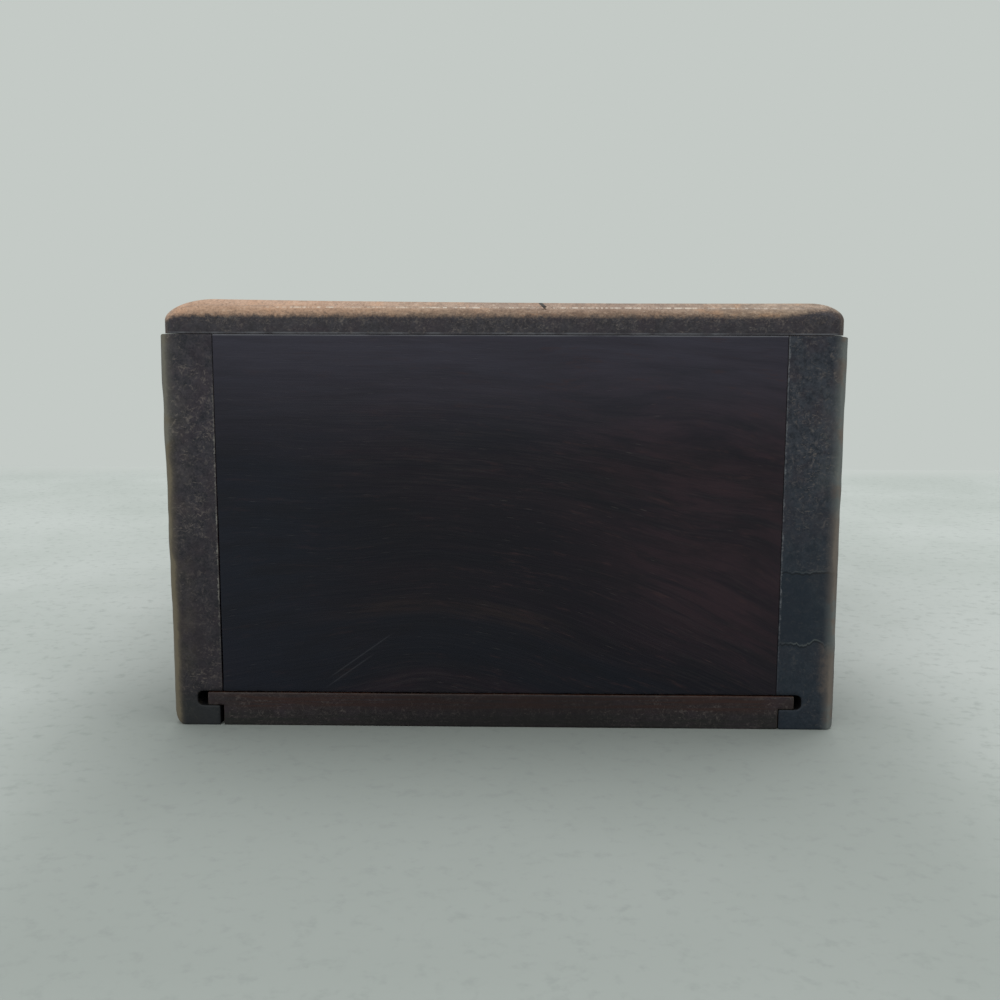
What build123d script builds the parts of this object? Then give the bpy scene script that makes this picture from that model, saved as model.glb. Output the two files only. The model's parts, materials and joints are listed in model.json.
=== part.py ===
from build123d import *

import math
import os

# A small dark wooden trinket box with a hinged lid and a bottom board that slides out endwise.
# All sizes are in millimetres. The origin is at the centre of the base, +Z is up, +Y runs along
# the box from the near end to the far end, and +X points to the back, where the hinges are.

# Box
box_length = 180.0
box_width = 120.4
wall_height = 70.8
front_thickness = 9.4
back_thickness = 10.6
end_thickness = 9.0
worn_radius = 1.8

# Sliding bottom and the grooves that carry it
bottom_thickness = 6.2
bottom_play = 0.2
tongue_thickness = 2.45
tongue_length = 2.85
groove_height = 2.7
groove_depth = 4.6
tongue_lift = 0.05
lip_relief = 0.55
front_lip_gap = 0.65
back_lip_gap = 0.1
far_stop_gap = 0.2

# Lid
lid_gap = 0.06
lid_front_thickness = 6.1
lid_back_thickness = 5.6
lid_hollow = 0.25
lid_front_inset = 0.15
lid_back_inset = 0.2
lid_end_inset = 0.5
front_round_width = 9.0
front_round_height = 3.8
back_round_width = 5.95
back_round_height = 2.9
end_round_width = 4.0
end_round_height = 2.8
lid_corner_radius = 1.5
lid_lower_arris = 0.45

# Pegs that hold the end boards between the long boards
peg_radius = 1.5
peg_depth_in_end = 14.0
peg_margin = 13.0
peg_fit = 0.03
peg_hole_spare = 0.3

# Stop hinges: two leaves let into the wood, a pin, and a heel on each leaf that ends the opening
hinge_length = 25.0
hinge_middle_distance = 42.5
leaf_width = 8.5
leaf_thickness = 1.0
barrel_radius = 1.6
pin_radius = 0.8
pin_fit = 0.04
pin_end_round = 0.25
axis_behind_back = 0.3
knuckle_count = 5
knuckle_gap = 0.12
turning_clearance = 0.15
heel_radius = 2.4
heel_end_angle = 170.0
lid_opening = 95.0
stop_slack = 1.0
let_in_fit = 0.1

# Countersunk screws, three in each leaf
screw_radius = 0.9
screw_head_radius = 1.6
screw_fit = 0.05
screw_end_margin = 4.5
screw_row_distance = 4.6
screw_stagger = 1.2
screw_tip_length = 1.2
screw_slot_width = 0.4
screw_slot_depth = 0.35
box_screw_length = 8.0
lid_screw_length = 4.4
countersink_angle = 90.0

# Places that follow from the sizes
half_length = box_length / 2
front_face = -box_width / 2
back_face = box_width / 2
front_inner = front_face + front_thickness
back_inner = back_face - back_thickness
end_inner = half_length - end_thickness
inner_width = back_inner - front_inner
inner_middle = (front_inner + back_inner) / 2

tongue_bottom = bottom_thickness - tongue_thickness
groove_bottom = tongue_bottom - tongue_lift
groove_top = groove_bottom + groove_height
near_end_bottom = bottom_thickness + bottom_play
bottom_front = front_inner - lip_relief + front_lip_gap
bottom_back = back_inner + lip_relief - back_lip_gap
bottom_width = bottom_back - bottom_front
bottom_middle = (bottom_front + bottom_back) / 2
bottom_far = end_inner - far_stop_gap

lid_bottom = wall_height + lid_gap
lid_front = front_face + lid_front_inset
lid_back = back_face - lid_back_inset
lid_half_length = half_length - lid_end_inset

hinge_x = back_face + axis_behind_back
hinge_z = wall_height + lid_gap / 2
hinge_station = half_length - hinge_middle_distance
screw_spacing = hinge_length / 2 - screw_end_margin
half_stop = (lid_opening + stop_slack) / 2
knuckle_pitch = hinge_length / knuckle_count
knuckle_places = [(i - (knuckle_count - 1) / 2) * knuckle_pitch for i in range(knuckle_count)]
box_knuckles = knuckle_places[0::2]
lid_knuckles = knuckle_places[1::2]
hinges = {"near": -hinge_station, "far": hinge_station}

peg_low = near_end_bottom + peg_margin
peg_high = wall_height - peg_margin
peg_heights = [peg_low, (peg_low + peg_high) / 2, peg_high]
peg_y = half_length - end_thickness / 2

# Room beyond a face for a cut that has to pass it
past = 1.0

os.makedirs("parts", exist_ok=True)


def write(part, name):
    """Labels one finished piece and writes it to its own file."""
    part.label = name
    export_step(part, f"parts/{name}.step")


def screw_planes(leaf_face, up, hinge_y):
    """Planes at one leaf's screw heads, on the face that shows when the lid is open."""
    row = hinge_x - screw_row_distance
    spots = [
        (row, hinge_y - screw_spacing),
        (row - screw_stagger, hinge_y),
        (row, hinge_y + screw_spacing),
    ]
    return [Plane(origin=(x, y, leaf_face), x_dir=(1, 0, 0), z_dir=(0, 0, up)) for x, y in spots]


# The box's leaves face up at the rim, and the lid's leaves face down at the lid's underside.
box_screw_planes = [p for y in hinges.values() for p in screw_planes(wall_height, 1, y)]
lid_screw_planes = [p for y in hinges.values() for p in screw_planes(lid_bottom, -1, y)]


def peg_planes(face, inward, end):
    """Planes at one corner's pegs, on the outer face of the long board."""
    return [Plane(origin=(face, end * peg_y, z), z_dir=(-inward, 0, 0)) for z in peg_heights]


def cut_peg_holes(face, inward, thickness, end):
    """Cuts one corner's peg holes through the long board and into the end board."""
    depth = thickness + peg_depth_in_end + peg_hole_spare
    with Locations(*peg_planes(face, inward, end)):
        Hole(peg_radius + peg_fit, depth)


def long_board(outer, inner):
    """A long side board with its groove, lip and peg holes, its outer arrises worn round."""
    side = math.copysign(1, outer)
    thickness = abs(outer - inner)
    outer_group = -1 if side > 0 else 0
    with BuildPart() as board:
        with BuildSketch(Plane.XZ):
            with Locations(((outer + inner) / 2, wall_height / 2)):
                Rectangle(thickness, wall_height)
        extrude(amount=half_length, both=True)
        uprights = board.edges().filter_by(Axis.Z).group_by(Axis.X)[outer_group]
        foot = board.edges().filter_by(Axis.Y).group_by(Axis.Z)[0].sort_by(Axis.X)[outer_group]
        fillet(uprights + [foot], radius=worn_radius)
        with BuildSketch(Plane.XZ):
            with Locations((inner, (groove_bottom + groove_top) / 2)):
                Rectangle(2 * groove_depth, groove_height)
            with Locations((inner, 0)):
                Rectangle(2 * lip_relief, 2 * groove_bottom)
        extrude(amount=half_length + past, both=True, mode=Mode.SUBTRACT)
        for end in (-1, 1):
            cut_peg_holes(outer, -side, thickness, end)
    return board.part


def cut_hinge_seats(leaf_face):
    """Lets both hinges into the wood: a mortise for each leaf and round room for its barrel."""
    for hinge_y in hinges.values():
        seat_width = leaf_width + let_in_fit + past
        seat_x = hinge_x - leaf_width - let_in_fit + seat_width / 2
        seat_length = hinge_length + 2 * let_in_fit
        with Locations((seat_x, hinge_y, leaf_face)):
            Box(seat_width, seat_length, 2 * leaf_thickness, mode=Mode.SUBTRACT)
        with Locations((hinge_x, hinge_y, hinge_z)):
            Cylinder(
                heel_radius + let_in_fit, seat_length, rotation=(90, 0, 0), mode=Mode.SUBTRACT
            )


# Front long board, at the left of the near end
with BuildPart() as front_board:
    add(long_board(front_face, front_inner))
write(front_board.part, "front_board")

# Back long board, with the hinge leaves let into its top edge
with BuildPart() as back_board:
    add(long_board(back_face, back_inner))
    cut_hinge_seats(wall_height)
    with Locations(*box_screw_planes):
        Hole(screw_radius + screw_fit, box_screw_length + screw_fit)
write(back_board.part, "back_board")

# Near end board, held between the long boards above the sliding bottom
with BuildPart() as near_end_board:
    near_height = wall_height - near_end_bottom
    with Locations((inner_middle, -peg_y, near_end_bottom + near_height / 2)):
        Box(inner_width, end_thickness, near_height)
    cut_peg_holes(front_face, 1, front_thickness, -1)
    cut_peg_holes(back_face, -1, back_thickness, -1)
write(near_end_board.part, "near_end_board")

# Far end board, down to the base, with a groove that takes the bottom's end tongue
with BuildPart() as far_end_board:
    with Locations((inner_middle, peg_y, wall_height / 2)):
        Box(inner_width, end_thickness, wall_height)
    with Locations((inner_middle, end_inner, (groove_bottom + groove_top) / 2)):
        Box(inner_width, 2 * groove_depth, groove_height, mode=Mode.SUBTRACT)
    cut_peg_holes(front_face, 1, front_thickness, 1)
    cut_peg_holes(back_face, -1, back_thickness, 1)
write(far_end_board.part, "far_end_board")

# Pegs, three at each corner
for end_name, end in (("near", -1), ("far", 1)):
    for side_name, face, inward, thickness in (
        ("front", front_face, 1, front_thickness),
        ("back", back_face, -1, back_thickness),
    ):
        with BuildPart() as pegs:
            length = thickness + peg_depth_in_end
            with Locations(*peg_planes(face, inward, end)):
                with Locations((0, 0, -length / 2)):
                    Cylinder(peg_radius, length)
        write(pegs.part, f"{end_name}_{side_name}_pegs")

# Sliding bottom, one board with a tongue along both sides and across the far end
with BuildPart() as sliding_bottom:
    with BuildSketch(Plane.XY):
        with Locations((bottom_middle, (bottom_far - half_length) / 2)):
            Rectangle(bottom_width, bottom_far + half_length)
    extrude(amount=bottom_thickness)
    with BuildSketch(Plane.XY.offset(tongue_bottom)):
        with Locations((bottom_middle, (bottom_far + tongue_length - half_length) / 2)):
            Rectangle(bottom_width + 2 * tongue_length, bottom_far + tongue_length + half_length)
    extrude(amount=tongue_thickness)
write(sliding_bottom.part, "sliding_bottom")

# Lid, one board with its upper edges rounded over and its top slightly hollow from front to back
with BuildPart() as lid:
    lid_top = lid_bottom + lid_front_thickness
    front_edge_top = lid_top - front_round_height
    back_edge_top = lid_bottom + lid_back_thickness - back_round_height
    end_edge_top = lid_top - end_round_height
    with BuildSketch(Plane.XZ):
        with BuildLine():
            front_round = EllipticalCenterArc(
                (lid_front + front_round_width, front_edge_top),
                front_round_width,
                front_round_height,
                90,
                arc_size=90,
            )
            back_round = EllipticalCenterArc(
                (lid_back - back_round_width, back_edge_top),
                back_round_width,
                back_round_height,
                0,
                arc_size=90,
            )
            middle = (front_round @ 0 + back_round @ 1) / 2
            hollow = (middle.X, middle.Y - lid_hollow)
            ThreePointArc(front_round @ 0, hollow, back_round @ 1)
            Polyline(
                front_round @ 1,
                (lid_front, lid_bottom + lid_lower_arris),
                (lid_front + lid_lower_arris, lid_bottom),
                (lid_back - lid_lower_arris, lid_bottom),
                (lid_back, lid_bottom + lid_lower_arris),
                back_round @ 0,
            )
        make_face()
    extrude(amount=lid_half_length, both=True)
    with BuildSketch(Plane.YZ):
        with BuildLine():
            far_round = EllipticalCenterArc(
                (lid_half_length - end_round_width, end_edge_top),
                end_round_width,
                end_round_height,
                0,
                arc_size=90,
            )
            near_round = EllipticalCenterArc(
                (end_round_width - lid_half_length, end_edge_top),
                end_round_width,
                end_round_height,
                90,
                arc_size=90,
            )
            Line(far_round @ 1, near_round @ 0)
            Polyline(
                near_round @ 1,
                (-lid_half_length, lid_bottom + lid_lower_arris),
                (lid_lower_arris - lid_half_length, lid_bottom),
                (lid_half_length - lid_lower_arris, lid_bottom),
                (lid_half_length, lid_bottom + lid_lower_arris),
                far_round @ 0,
            )
        make_face()
    extrude(amount=box_width, both=True, mode=Mode.INTERSECT)
    with BuildSketch(Plane.XY.offset(lid_bottom)):
        with Locations(((lid_front + lid_back) / 2, 0)):
            RectangleRounded(lid_back - lid_front, 2 * lid_half_length, lid_corner_radius)
    extrude(amount=lid_front_thickness + past, mode=Mode.INTERSECT)
    cut_hinge_seats(lid_bottom)
    with Locations(*lid_screw_planes):
        Hole(screw_radius + screw_fit, lid_screw_length + screw_fit)
write(lid.part, "lid")


def hinge_leaf(hinge_y, side, other_knuckles, planes):
    """One hinge leaf with its knuckles and heel, side -1 for the box's leaf and 1 for the lid's."""
    half_gap = lid_gap / 2
    section = Plane(origin=(hinge_x, hinge_y, hinge_z), x_dir=(1, 0, 0), z_dir=(0, -1, 0))
    with BuildPart() as leaf:
        with BuildSketch(section):
            with Locations((-leaf_width / 2, side * (half_gap + leaf_thickness / 2))):
                Rectangle(leaf_width, leaf_thickness)
            Circle(barrel_radius)
            with BuildLine():
                heel = CenterArc(
                    (0, 0), heel_radius, side * half_stop, side * (heel_end_angle - half_stop)
                )
                Polyline(heel @ 1, (0, 0), heel @ 0)
            make_face()
        extrude(amount=hinge_length / 2, both=True)
        with Locations(*[(hinge_x, hinge_y + place, hinge_z) for place in other_knuckles]):
            Cylinder(
                barrel_radius + turning_clearance,
                knuckle_pitch + knuckle_gap,
                rotation=(90, 0, 0),
                mode=Mode.SUBTRACT,
            )
        with Locations((hinge_x, hinge_y, hinge_z)):
            Cylinder(
                pin_radius + pin_fit,
                hinge_length + past,
                rotation=(90, 0, 0),
                mode=Mode.SUBTRACT,
            )
        with Locations(*planes):
            CounterSinkHole(
                screw_radius + screw_fit,
                screw_head_radius + screw_fit,
                leaf_thickness + past,
                countersink_angle,
            )
    return leaf.part


# Hinges, one pair of leaves and a pin at each station
for place_name, hinge_y in hinges.items():
    with BuildPart() as box_leaf:
        add(hinge_leaf(hinge_y, -1, lid_knuckles, screw_planes(wall_height, 1, hinge_y)))
    write(box_leaf.part, f"{place_name}_hinge_box_leaf")

    with BuildPart() as lid_leaf:
        add(hinge_leaf(hinge_y, 1, box_knuckles, screw_planes(lid_bottom, -1, hinge_y)))
    write(lid_leaf.part, f"{place_name}_hinge_lid_leaf")

    with BuildPart() as hinge_pin:
        with Locations((hinge_x, hinge_y, hinge_z)):
            Cylinder(pin_radius, hinge_length, rotation=(90, 0, 0))
        fillet(hinge_pin.edges().filter_by(GeomType.CIRCLE), radius=pin_end_round)
    write(hinge_pin.part, f"{place_name}_hinge_pin")


def slotted_screw(length):
    """One countersunk slotted screw, its head's face at the origin and its tip pointing down."""
    head_depth = screw_head_radius - screw_radius
    with BuildPart() as screw:
        with BuildSketch(Plane.XZ):
            with BuildLine():
                Polyline(
                    (0, 0),
                    (screw_head_radius, 0),
                    (screw_radius, -head_depth),
                    (screw_radius, screw_tip_length - length),
                    (0, -length),
                    close=True,
                )
            make_face()
        revolve(axis=Axis.Z)
        Box(2 * screw_head_radius, screw_slot_width, 2 * screw_slot_depth, mode=Mode.SUBTRACT)
    return screw.part


# Screws, one group in the box's leaves and one in the lid's
box_screw = slotted_screw(box_screw_length)
with BuildPart() as box_leaf_screws:
    with Locations(*box_screw_planes):
        add(box_screw)
write(box_leaf_screws.part, "box_leaf_screws")

lid_screw = slotted_screw(lid_screw_length)
with BuildPart() as lid_leaf_screws:
    with Locations(*lid_screw_planes):
        add(lid_screw)
write(lid_leaf_screws.part, "lid_leaf_screws")
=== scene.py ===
import json
import math

import bpy
import numpy as np
from mathutils import Matrix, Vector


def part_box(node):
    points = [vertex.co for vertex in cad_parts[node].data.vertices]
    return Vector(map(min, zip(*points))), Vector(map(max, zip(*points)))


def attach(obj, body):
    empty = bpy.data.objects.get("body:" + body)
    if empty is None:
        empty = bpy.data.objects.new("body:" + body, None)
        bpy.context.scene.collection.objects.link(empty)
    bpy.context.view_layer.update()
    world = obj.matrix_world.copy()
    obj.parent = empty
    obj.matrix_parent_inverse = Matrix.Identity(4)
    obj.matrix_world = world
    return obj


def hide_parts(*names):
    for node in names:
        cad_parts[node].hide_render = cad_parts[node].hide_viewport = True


# Looks of a small dark wooden trinket box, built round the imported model. The box stands on the
# floor with its near end, where the bottom slides out, towards the camera. Sizes and places are
# in millimetres, except where a comment says otherwise.

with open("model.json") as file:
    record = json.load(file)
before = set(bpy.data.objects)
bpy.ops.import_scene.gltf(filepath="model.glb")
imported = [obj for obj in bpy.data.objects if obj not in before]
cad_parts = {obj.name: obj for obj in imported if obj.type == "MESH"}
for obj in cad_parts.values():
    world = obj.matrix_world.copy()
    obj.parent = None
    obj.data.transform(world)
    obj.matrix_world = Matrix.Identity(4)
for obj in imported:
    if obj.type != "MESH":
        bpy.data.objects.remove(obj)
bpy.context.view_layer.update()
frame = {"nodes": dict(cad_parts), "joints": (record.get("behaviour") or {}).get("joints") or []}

MM = 0.001


def box_mm(node):
    """Lowest and highest corner of a CAD node, in millimetres."""
    low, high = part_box(node)
    return low / MM, high / MM


def linear(red, green, blue):
    """A colour given as 0 to 255 display values, as linear light."""
    values = [channel / 255 for channel in (red, green, blue)]
    return [v / 12.92 if v <= 0.04045 else ((v + 0.055) / 1.055) ** 2.4 for v in values]


# Places of the boards, from the frame, and sizes of the joints between them

front_inner = box_mm("front_board")[1].x
back_inner = box_mm("back_board")[0].x
rim = box_mm("front_board")[1].z
near_end, near_inner = [corner.y for corner in box_mm("near_end_board")]
far_inner = box_mm("far_end_board")[0].y
lid_low, lid_high = box_mm("lid")

tongue_bottom = 3.75
tongue_length = 2.85
groove_low, groove_high = 3.7, 6.4
groove_depth = 4.6
groove_round = 1.0
lip_relief = 0.55
leaf_thickness = 1.0
peg_radius = 1.5

# Wear: widths of the rounded edges, and the slanting nick in the lid's near edge

arris = 1.8
small_arris = 0.15
rim_arris = 0.08
lid_lower_arris = 0.06
nick_x, nick_z = 6.9, 76.0
nick_half_width, nick_half_length, nick_depth = 0.35, 0.9, 1.6

# Noise and rounded shapes, worked out on arrays of points

hash_x, hash_y, hash_z = 73856093, 19349663, 83492791
hash_seed, hash_mix = 2654435, 1274126177


def lattice(ix, iy, iz, seed):
    """A fixed random value from -1 to 1 at each whole-number place."""
    h = ix * hash_x ^ iy * hash_y ^ iz * hash_z ^ seed * hash_seed
    h = (h ^ (h >> 13)) * hash_mix
    return ((h ^ (h >> 16)) & 0xFFFF) / 32767.5 - 1.0


def noise(points, size, seed):
    """Smooth noise from -1 to 1, with cells of the given size, one or three sizes."""
    q = points / np.asarray(size, float)
    cell = np.floor(q)
    t = q - cell
    t = t * t * (3 - 2 * t)
    cell = cell.astype(np.int64)
    total = 0.0
    for dx in (0, 1):
        for dy in (0, 1):
            for dz in (0, 1):
                weight = (
                    (t[:, 0] if dx else 1 - t[:, 0])
                    * (t[:, 1] if dy else 1 - t[:, 1])
                    * (t[:, 2] if dz else 1 - t[:, 2])
                )
                total = total + weight * lattice(
                    cell[:, 0] + dx, cell[:, 1] + dy, cell[:, 2] + dz, seed
                )
    return total


def ramp(value, low, high):
    """Rises smoothly from 0 at low to 1 at high."""
    t = np.clip((value - low) / (high - low), 0, 1)
    return t * t * (3 - 2 * t)


def wobble(p, seed, amount=0.06):
    """How far a hand-planed face lies below its true plane, from 0 to about twice the amount."""
    return amount * (1 + noise(p, 18, seed)) + 0.25 * amount * (1 + noise(p, 4, seed + 1))


def rounded(a, b, width_a, width_b):
    """Distance outside the corner of two faces, a and b outside each, rounded over two widths."""
    inside_a = np.maximum(a + width_a, 1e-6)
    inside_b = np.maximum(b + width_b, 1e-6)
    reach = np.sqrt((inside_a / width_a) ** 2 + (inside_b / width_b) ** 2)
    slope = np.sqrt((inside_a / width_a**2) ** 2 + (inside_b / width_b**2) ** 2) / reach
    corner = (a > -width_a) & (b > -width_b)
    return np.where(corner, (reach - 1) / slope, np.maximum(a, b))


def eased(shape, face):
    """Cuts a shape off at a face, with a small arris."""
    return rounded(shape, face, small_arris, small_arris)


def cut(shape, hollow, edge=0.2):
    """Takes a hollow out of a shape, hollow being the distance outside it, and eases its edges."""
    return rounded(shape, -hollow, edge, edge)


def within_box(p):
    """1 over the inside of the box, seen from above, fading to 0 just over its boards."""
    blur = 1.0
    beyond = np.maximum.reduce(
        [front_inner - p[:, 0], p[:, 0] - back_inner, near_inner - p[:, 1], p[:, 1] - far_inner]
    )
    return 1 - ramp(beyond, 0, blur)


def steps(*runs):
    """Grid lines along one axis: each run is (start, end, step)."""
    found = [runs[0][0]]
    for start, end, step in runs:
        count = max(1, round(abs(end - start) / step))
        found += [start + (end - start) * (i + 1) / count for i in range(count)]
    return np.array(found)


def rubbed(sharp, points):
    """How far each point was worn away, as a share of the most wear there is."""
    most_wear = 0.7
    return np.clip(np.linalg.norm(points - sharp, axis=1) / most_wear, 0, 1)


def carve(name, grid, solid, field, body, node, material, inside, wear=rubbed):
    """A board as a closed mesh: the faces of the grid's solid cells, drawn onto the worn shape.

    solid says which cells are wood by their middles, field gives each point's distance outside
    the worn surface, inside says which points lie on faces that the closed box hides, and wear
    how far each is rubbed. Points where two faces meet are marked as edges.
    """
    xs, ys, zs = grid
    middles = [(axis[1:] + axis[:-1]) / 2 for axis in grid]
    mesh_x, mesh_y, mesh_z = np.meshgrid(*middles, indexing="ij")
    filled = np.pad(solid(mesh_x, mesh_y, mesh_z), 1)
    count_y, count_z = len(ys), len(zs)
    quads = []
    for axis in range(3):
        for way in (-1, 1):
            bare = filled & ~np.roll(filled, -way, axis)
            cells = np.argwhere(bare) - 1
            start = cells.copy()
            start[:, axis] += way == 1
            u, v = [(1, 2), (2, 0), (0, 1)][axis]
            corners = []
            for du, dv in ((0, 0), (1, 0), (1, 1), (0, 1)):
                corner = start.copy()
                corner[:, u] += du
                corner[:, v] += dv
                corners.append((corner[:, 0] * count_y + corner[:, 1]) * count_z + corner[:, 2])
            quads.append(np.stack(corners[::way], 1))
    sides = np.repeat(np.arange(6), [len(side) for side in quads])
    used, quads = np.unique(np.concatenate(quads), return_inverse=True)
    quads = quads.reshape(-1, 4)
    facing = np.zeros((len(used), 6), bool)
    facing[quads, sides[:, None]] = True
    sharp = np.stack(
        [xs[used // (count_y * count_z)], ys[used // count_z % count_y], zs[used % count_z]], 1
    )
    points = sharp.copy()
    rounds, nudge, longest_step, least_slope = 6, 0.03, 0.6, 0.5
    for _ in range(rounds):
        here = field(points)
        slope = np.stack(
            [(field(points + nudge * np.eye(3)[i]) - here) / nudge for i in range(3)], 1
        )
        size = np.maximum((slope**2).sum(1), least_slope**2)
        points -= slope * (np.clip(here, -longest_step, longest_step) / size)[:, None]
    mesh = bpy.data.meshes.new(name)
    mesh.from_pydata(points * MM, [], quads.tolist())
    mesh.shade_smooth()
    marks = {"wear": wear(sharp, points), "bare": inside(points), "edge": facing.sum(1) > 1}
    for label, values in marks.items():
        mesh.attributes.new(label, "FLOAT", "POINT").data.foreach_set(
            "value", values.astype(np.float32)
        )
    mesh.materials.append(material)
    made = bpy.data.objects.new(name, mesh)
    bpy.context.scene.collection.objects.link(made)
    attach(made, body)
    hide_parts(node)
    return made


# Materials


class Paint:
    """A procedural material: nodes are added by kind, and inputs take values or other outputs.

    Places are in millimetres in the space of the object, which is the frame with all at rest.
    """

    def __init__(self, name):
        self.material = bpy.data.materials.new(name)
        self.material.use_nodes = True
        self.tree = self.material.node_tree
        self.surface = self.tree.nodes["Principled BSDF"]
        self.seed = 0.0
        self.space = self.add("TexCoord")
        scaled = self.add(
            "VectorMath", {0: self.space.outputs["Object"], "Scale": 1 / MM}, operation="SCALE"
        )
        self.place = scaled.outputs[0]
        self.x, self.y, self.z = self.add("SeparateXYZ", {0: self.place}).outputs

    def add(self, kind, inputs=None, **settings):
        """Adds a node of a kind, with its settings made and its inputs fed."""
        node = self.tree.nodes.new(f"ShaderNode{kind}")
        for key, value in settings.items():
            setattr(node, key, value)
        for key, value in (inputs or {}).items():
            self.feed(node.inputs[key], value)
        return node

    def feed(self, socket, value):
        """Links another node's output to an input, or sets the input's own value."""
        if isinstance(value, bpy.types.NodeSocket):
            self.tree.links.new(value, socket)
        elif isinstance(value, (list, tuple)) and len(value) == 3 and socket.type == "RGBA":
            socket.default_value = (*value, 1)
        else:
            socket.default_value = value

    def maths(self, kind, *values):
        """The result of one sum, with values or other outputs in it."""
        return self.add("Math", dict(enumerate(values)), operation=kind).outputs[0]

    def times(self, first, *others):
        """The product of all the values."""
        for other in others:
            first = self.maths("MULTIPLY", first, other)
        return first

    def most(self, first, second):
        """The greater of two values."""
        return self.maths("MAXIMUM", first, second)

    def spread(self, value, low, high, to_low=0.0, to_high=1.0):
        """Maps a value's range onto another range, held at its ends."""
        return self.add(
            "MapRange",
            {"Value": value, "From Min": low, "From Max": high, "To Min": to_low, "To Max": to_high},
            interpolation_type="SMOOTHSTEP",
        ).outputs["Result"]

    def band(self, value, middle, half, soft):
        """1 for values up to half away from the middle, and 0 from soft beyond that."""
        away = self.maths("ABSOLUTE", self.maths("SUBTRACT", value, middle))
        return self.spread(away, half, half + soft, 1.0, 0.0)

    def mapped(self, sizes, seed=0.0):
        """The place in units of the given sizes along each axis."""
        shift = seed + self.seed
        return self.add(
            "Mapping",
            {
                "Vector": self.place,
                "Scale": [1 / size for size in sizes],
                "Location": (shift, 1.7 * shift, 2.3 * shift),
            },
        ).outputs["Vector"]

    def noise(self, sizes, detail=3.0, roughness=0.55, distortion=0.0, seed=0.0):
        """Smooth noise round a half, its cells of one size or of three sizes."""
        if not isinstance(sizes, (list, tuple)):
            sizes = (sizes, sizes, sizes)
        return self.add(
            "TexNoise",
            {
                "Vector": self.mapped(sizes, seed),
                "Scale": 1.0,
                "Detail": detail,
                "Roughness": roughness,
                "Distortion": distortion,
            },
        ).outputs["Fac"]

    def mix(self, factor, a, b):
        """Goes from colour a to colour b as the factor goes from 0 to 1."""
        node = self.add("Mix", data_type="RGBA")
        for index, value in ((0, factor), (6, a), (7, b)):
            self.feed(node.inputs[index], value)
        return node.outputs[2]

    def blend(self, colour, other, amount, *masks):
        """Mixes in another colour by an amount, where all the masks are 1."""
        return self.mix(self.times(*masks, amount), colour, other)

    def attribute(self, name):
        """A value that the mesh carries at its points."""
        return self.add("Attribute", attribute_name=name).outputs["Fac"]

    def finish(self, colour, roughness, height, depth, specular=0.5, metallic=0.0):
        """Feeds the surface, with the height as a relief of the given depth."""
        bump = self.add("Bump", {"Height": height, "Distance": depth * MM, "Strength": 1.0})
        self.feed(self.surface.inputs["Base Color"], colour)
        self.feed(self.surface.inputs["Roughness"], roughness)
        self.feed(self.surface.inputs["Normal"], bump.outputs["Normal"])
        self.surface.inputs["Specular IOR Level"].default_value = specular
        self.surface.inputs["Metallic"].default_value = metallic
        return self.material


near_black = linear(18, 17, 27)
plum = linear(32, 23, 32)
ember = linear(46, 32, 39)
pore_pale = linear(112, 104, 98)
fleck_pale = linear(122, 112, 107)
end_tint = linear(58, 48, 56)
inner_brown = linear(88, 58, 42)
inner_dark = linear(58, 38, 30)
pocket_shade = linear(24, 26, 27)


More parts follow.
